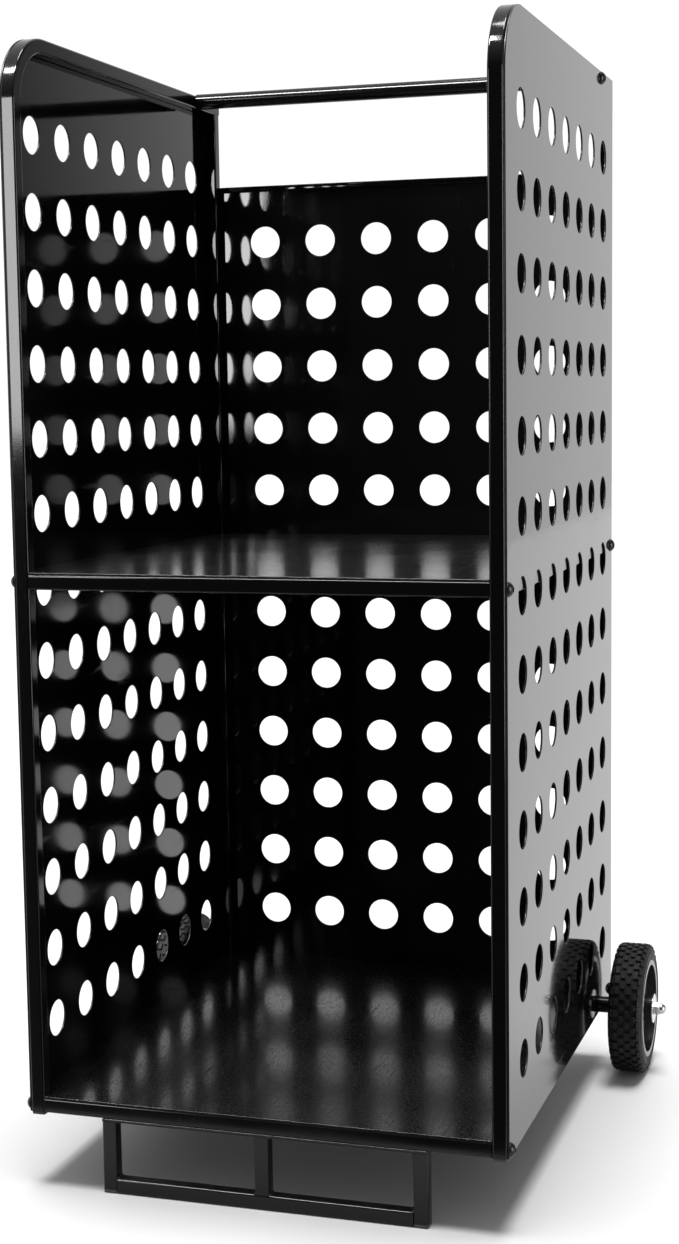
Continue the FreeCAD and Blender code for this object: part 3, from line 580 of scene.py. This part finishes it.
def tyre_rubber():
    """Matt black rubber, dusty in patches, with a fine grain."""
    material, tree, shader, place = new_material("tyre rubber")
    patch = noise(tree, place, 45.0, 6.0)
    colour = add_node(tree, "ShaderNodeMix", {
        "Factor": spread(tree, patch, 0.0, 1.0, 0.42, 0.75),
        "A": (0.0024, 0.0024, 0.0025, 1.0),
        "B": (0.0072, 0.007, 0.0068, 1.0),
    }, data_type="RGBA").outputs["Result"]
    tree.links.new(colour, shader.inputs["Base Color"])
    tree.links.new(spread(tree, patch, 0.5, 0.72, 0.3, 0.7), shader.inputs["Roughness"])
    grain = noise(tree, place, 1100.0, 4.0)
    bump = add_node(tree, "ShaderNodeBump", {"Height": grain, "Strength": 0.35, "Distance": 0.0004})
    tree.links.new(bump.outputs["Normal"], shader.inputs["Normal"])
    shader.inputs["IOR"].default_value = 1.33
    return material


def tread_group():
    """Node group: rows of tapered blocks round the X axis, every other row half a pitch on."""
    tree = bpy.data.node_groups.new("tyre tread", "GeometryNodeTree")
    tree.interface.new_socket("Geometry", in_out="OUTPUT", socket_type="NodeSocketGeometry")
    for name in ("Radius", "Row Pitch", "Centre", "Block Width", "Block Length", "Block Depth",
                 "Tilt", "Taper"):
        tree.interface.new_socket(name, in_out="INPUT", socket_type="NodeSocketFloat")
    for name in ("Rows", "Blocks"):
        tree.interface.new_socket(name, in_out="INPUT", socket_type="NodeSocketInt")
    tree.interface.new_socket("Material", in_out="INPUT", socket_type="NodeSocketMaterial")
    given = tree.nodes.new("NodeGroupInput").outputs

    def maths(operation, first, second=0.0):
        return add_node(tree, "ShaderNodeMath", {0: first, 1: second}, operation=operation).outputs[0]

    count = maths("MULTIPLY", given["Rows"], given["Blocks"])
    points = add_node(tree, "GeometryNodePoints", {"Count": count}).outputs[0]
    index = add_node(tree, "GeometryNodeInputIndex").outputs[0]
    row = maths("FLOOR", maths("DIVIDE", maths("ADD", index, 0.5), given["Blocks"]))
    step = maths("SUBTRACT", index, maths("MULTIPLY", row, given["Blocks"]))
    stagger = maths("MULTIPLY", maths("MODULO", row, 2.0), 0.5)
    part_turn = maths("DIVIDE", maths("ADD", step, stagger), given["Blocks"])
    turn = maths("MULTIPLY", part_turn, 2 * math.pi)
    middle = maths("DIVIDE", maths("SUBTRACT", given["Rows"], 1.0), 2.0)
    rows_off = maths("SUBTRACT", row, middle)
    x = maths("ADD", given["Centre"], maths("MULTIPLY", rows_off, given["Row Pitch"]))
    seat = maths("SUBTRACT", given["Radius"], maths("DIVIDE", given["Block Depth"], 2.0))
    y = maths("MULTIPLY", maths("COSINE", turn), seat)
    z = maths("MULTIPLY", maths("SINE", turn), seat)
    position = add_node(tree, "ShaderNodeCombineXYZ", {"X": x, "Y": y, "Z": z}).outputs[0]
    placed = add_node(tree, "GeometryNodeSetPosition", {
        "Geometry": points, "Position": position}).outputs[0]
    size = add_node(tree, "ShaderNodeCombineXYZ", {
        "X": given["Block Width"], "Y": given["Block Depth"], "Z": given["Block Length"]}).outputs[0]
    block = add_node(tree, "GeometryNodeMeshCube", {"Size": size}).outputs["Mesh"]
    normal = add_node(tree, "GeometryNodeInputNormal").outputs[0]
    depth_way = add_node(tree, "ShaderNodeSeparateXYZ", {"Vector": normal}).outputs["Y"]
    outward = maths("GREATER_THAN", depth_way, 0.5)
    tapered = add_node(tree, "GeometryNodeScaleElements", {
        "Geometry": block, "Selection": outward, "Scale": given["Taper"]}).outputs[0]
    lean = add_node(tree, "ShaderNodeCombineXYZ", {"Z": given["Tilt"]}).outputs[0]
    tilted = add_node(tree, "GeometryNodeTransform", {
        "Geometry": tapered, "Rotation": lean}).outputs[0]
    facing = add_node(tree, "ShaderNodeCombineXYZ", {"X": turn}).outputs[0]
    blocks = add_node(tree, "GeometryNodeInstanceOnPoints", {
        "Points": placed, "Instance": tilted, "Rotation": facing}).outputs["Instances"]
    solid = add_node(tree, "GeometryNodeRealizeInstances", {"Geometry": blocks}).outputs[0]
    painted = add_node(tree, "GeometryNodeSetMaterial", {
        "Geometry": solid, "Material": given["Material"]})
    result = tree.nodes.new("NodeGroupOutput")
    tree.links.new(painted.outputs[0], result.inputs[0])
    return tree


def carcass(name, half, outer, seat, material):
    """The tyre without its blocks: a section spun about X, with a raised ring on each sidewall."""
    tread_floor = outer - 2.6 * MM
    ring_at = (seat + outer) / 2 - 1.0 * MM
    ring = 0.9 * MM
    right = [
        (half - 1.2 * MM, seat),
        (half - 0.4 * MM, seat + 0.8 * MM),
        (half - 0.6 * MM, ring_at - 2 * ring),
        (half, ring_at - ring),
        (half, ring_at + ring),
        (half - 0.7 * MM, ring_at + 2 * ring),
    ]
    shoulder = 6.5 * MM
    for step in range(7):
        angle = math.radians(15 * step)
        right.append((half - 0.8 * MM - shoulder * (1 - math.cos(angle)),
                      tread_floor - shoulder * (1 - math.sin(angle))))
    section = right + [(-x, radius) for x, radius in reversed(right)]
    facets = 120
    shell = bmesh.new()
    rings = []
    for facet in range(facets):
        angle = 2 * math.pi * facet / facets
        rings.append([shell.verts.new((x, radius * math.cos(angle), radius * math.sin(angle)))
                      for x, radius in section])
    for facet in range(facets):
        here, there = rings[facet], rings[(facet + 1) % facets]
        for index in range(len(section)):
            after = (index + 1) % len(section)
            shell.faces.new((here[index], here[after], there[after], there[index]))
    bmesh.ops.recalc_face_normals(shell, faces=shell.faces)
    piece = piece_from(name, shell, material)
    piece.data.set_sharp_from_angle(angle=math.radians(38))
    return piece


rubber = tyre_rubber()
tread_tree = tread_group()
tread_rows = 4
tread_pitch = 6.9 * MM
blocks_round = 36
block_width = 5.6 * MM
block_length = 8.2 * MM
block_depth = 3.4 * MM
block_taper = 0.86
lug_width = 4.6 * MM
lug_length = 8.8 * MM
lug_tilt = math.radians(33)
lug_from_side = 4.0 * MM
tread_below_edge = 0.15 * MM
lug_below_edge = 1.15 * MM
for side, sign in SIDES.items():
    low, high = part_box(f"{side}_tyre")
    centre = (low + high) / 2
    half = (high.x - low.x) / 2
    outer = (high.z - low.z) / 2
    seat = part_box(f"{side}_rim")
    seat_radius = (seat[1].z - seat[0].z) / 2
    body = f"{side}_wheel"
    casing = carcass(f"{side}_tyre_casing", half, outer, seat_radius, rubber)
    casing.data.transform(Matrix.Translation(centre))
    settle(casing, body, (f"{side}_tyre",))
    bands = [("tread", tread_rows, 0.0, outer - tread_below_edge, block_width, block_length, 0.0)]
    for way in (-1, 1):
        bands.append(("lugs_in" if way * sign < 0 else "lugs_out", 1, way * (half - lug_from_side),
                      outer - lug_below_edge, lug_width, lug_length, -way * lug_tilt))
    for band, rows, at, radius, width, length, tilt in bands:
        tread = empty_piece(f"{side}_tyre_{band}")
        run_nodes(tread, tread_tree, {
            "Radius": radius, "Row Pitch": tread_pitch, "Centre": at, "Block Width": width,
            "Block Length": length, "Block Depth": block_depth, "Tilt": tilt, "Taper": block_taper,
            "Rows": rows, "Blocks": blocks_round, "Material": rubber})
        make_plain(tread)
        tread.data.transform(Matrix.Translation(centre))
        edge = tread.modifiers.new("worn edges", "BEVEL")
        edge.width = 0.35 * MM
        edge.segments = 2
        settle(tread, body)


# ---- studio ----------------------------------------------------------------------------------------
# A pale floor under a bright ceiling, in a white room with a dark front wall and a dark corner on the
# right. Three soft lamps draw the highlights on the steel: above, at the front left and at the right.

floor_front = -0.5
floor_right = 2.2
floor_left = -10.0
floor_rear = 16.0
floor_shell = bmesh.new()
floor_shell.faces.new([floor_shell.verts.new(place) for place in (
    (floor_left, floor_front, 0.0), (floor_right, floor_front, 0.0),
    (floor_right, floor_rear, 0.0), (floor_left, floor_rear, 0.0))])
floor_material, floor_tree, floor_shader, floor_place = new_material("studio floor")
cast = noise(floor_tree, floor_place, 1.2, 3.0)
paint = add_node(floor_tree, "ShaderNodeMix", {
    "Factor": cast, "A": (0.88, 0.88, 0.88, 1.0), "B": (0.9, 0.9, 0.9, 1.0)}, data_type="RGBA")
floor_tree.links.new(paint.outputs["Result"], floor_shader.inputs["Base Color"])
floor_shader.inputs["Roughness"].default_value = 0.6
floor = piece_from("studio_floor", floor_shell, floor_material)
floor.location.z = -0.0005

world = bpy.data.worlds.new("studio")
bpy.context.scene.world = world
world.use_nodes = True
sky = world.node_tree
background = sky.nodes["Background"]
dull_light = 0.27
direction = add_node(sky, "ShaderNodeTexCoord").outputs["Generated"]
around = add_node(sky, "ShaderNodeSeparateXYZ", {"Vector": direction}).outputs
# brightness by direction: the front is dark, the right is dark in its corner and pale beyond
front_wall = spread(sky, around["Y"], 0.02, 1.05, -0.9, -0.45)
right_corner = spread(sky, around["X"], 1.0, 0.12, 0.31, 0.46)
side_wall = spread(sky, around["X"], 0.0, 0.95, 0.66, 0.86)
sides = add_node(sky, "ShaderNodeMath", {0: right_corner, 1: side_wall},
                 operation="MAXIMUM").outputs[0]
room = add_node(sky, "ShaderNodeMath", {0: front_wall, 1: sides},
                operation="MULTIPLY").outputs[0]
paths = add_node(sky, "ShaderNodeLightPath").outputs
light = add_node(sky, "ShaderNodeMix", {
    "Factor": paths["Is Diffuse Ray"], "A": room, "B": dull_light},
    data_type="FLOAT").outputs["Result"]
shade = add_node(sky, "ShaderNodeMath", {0: light, 1: paths["Is Camera Ray"]},
                 operation="MAXIMUM").outputs[0]
sky.links.new(shade, background.inputs["Strength"])
background.inputs["Color"].default_value = (1.0, 1.0, 1.0, 1.0)


def soft_lamp(name, at, aim, width, height, watts):
    """A rectangular area lamp that faces a point. It lights the rack and leaves the floor alone."""
    data = bpy.data.lights.new(name, "AREA")
    data.shape = "RECTANGLE"
    data.size = width
    data.size_y = height
    data.energy = watts
    lamp = bpy.data.objects.new(name, data)
    bpy.context.scene.collection.objects.link(lamp)
    lamp.location = at
    lamp.rotation_euler = (Vector(aim) - Vector(at)).to_track_quat("-Z", "Y").to_euler()
    lamp.light_linking.receiver_collection = left_alone


left_alone = bpy.data.collections.new("left alone by the lamps")
left_alone.objects.link(floor)
left_alone.collection_objects[0].light_linking.link_state = "EXCLUDE"
soft_lamp("highlight strip", (-0.87, -1.2, 2.9), (-0.87, -0.3, 0.5), 1.3, 0.28, 140)
soft_lamp("front left strip", (-1.62, -3.05, 1.3), (-0.1, -0.3, 0.9), 0.5, 1.2, 38)
soft_lamp("right strip", (3.2, -0.95, 0.9), (0.25, -0.2, 0.6), 0.5, 2.0, 60)

ceiling = bpy.data.lights.new("bright ceiling", "SUN")
ceiling.energy = 3.6
ceiling.angle = math.radians(26)
ceiling_lamp = bpy.data.objects.new("bright ceiling", ceiling)
bpy.context.scene.collection.objects.link(ceiling_lamp)
ceiling_lamp.location = (0.0, 0.0, 4.0)


# ---- camera ----------------------------------------------------------------------------------------
# The eye is 0.8 m up, in front and to the right of the rack, and looks slightly down at it. Its tilt
# is small, so the posts stay nearly upright in the frame.

eye = (0.6584, -2.1025, 0.8015)
lens = bpy.data.cameras.new("camera")
lens.sensor_fit = "VERTICAL"
lens.sensor_height = 36.0
lens.lens = 58.54
camera = bpy.data.objects.new("camera", lens)
bpy.context.scene.collection.objects.link(camera)
yaw, pitch, roll = math.radians(17.5), math.radians(6.46), math.radians(-0.77)
ahead = Vector((-math.sin(yaw) * math.cos(pitch), math.cos(yaw) * math.cos(pitch), -math.sin(pitch)))
level = Vector((math.cos(yaw), math.sin(yaw), 0.0))
upright = level.cross(ahead)
across = math.cos(roll) * level + math.sin(roll) * upright
upward = -math.sin(roll) * level + math.cos(roll) * upright
turned = Matrix((across, upward, -ahead)).transposed()
camera.matrix_world = Matrix.Translation(eye) @ turned.to_4x4()
bpy.context.scene.camera = camera
bpy.context.scene.view_settings.view_transform = "Standard"
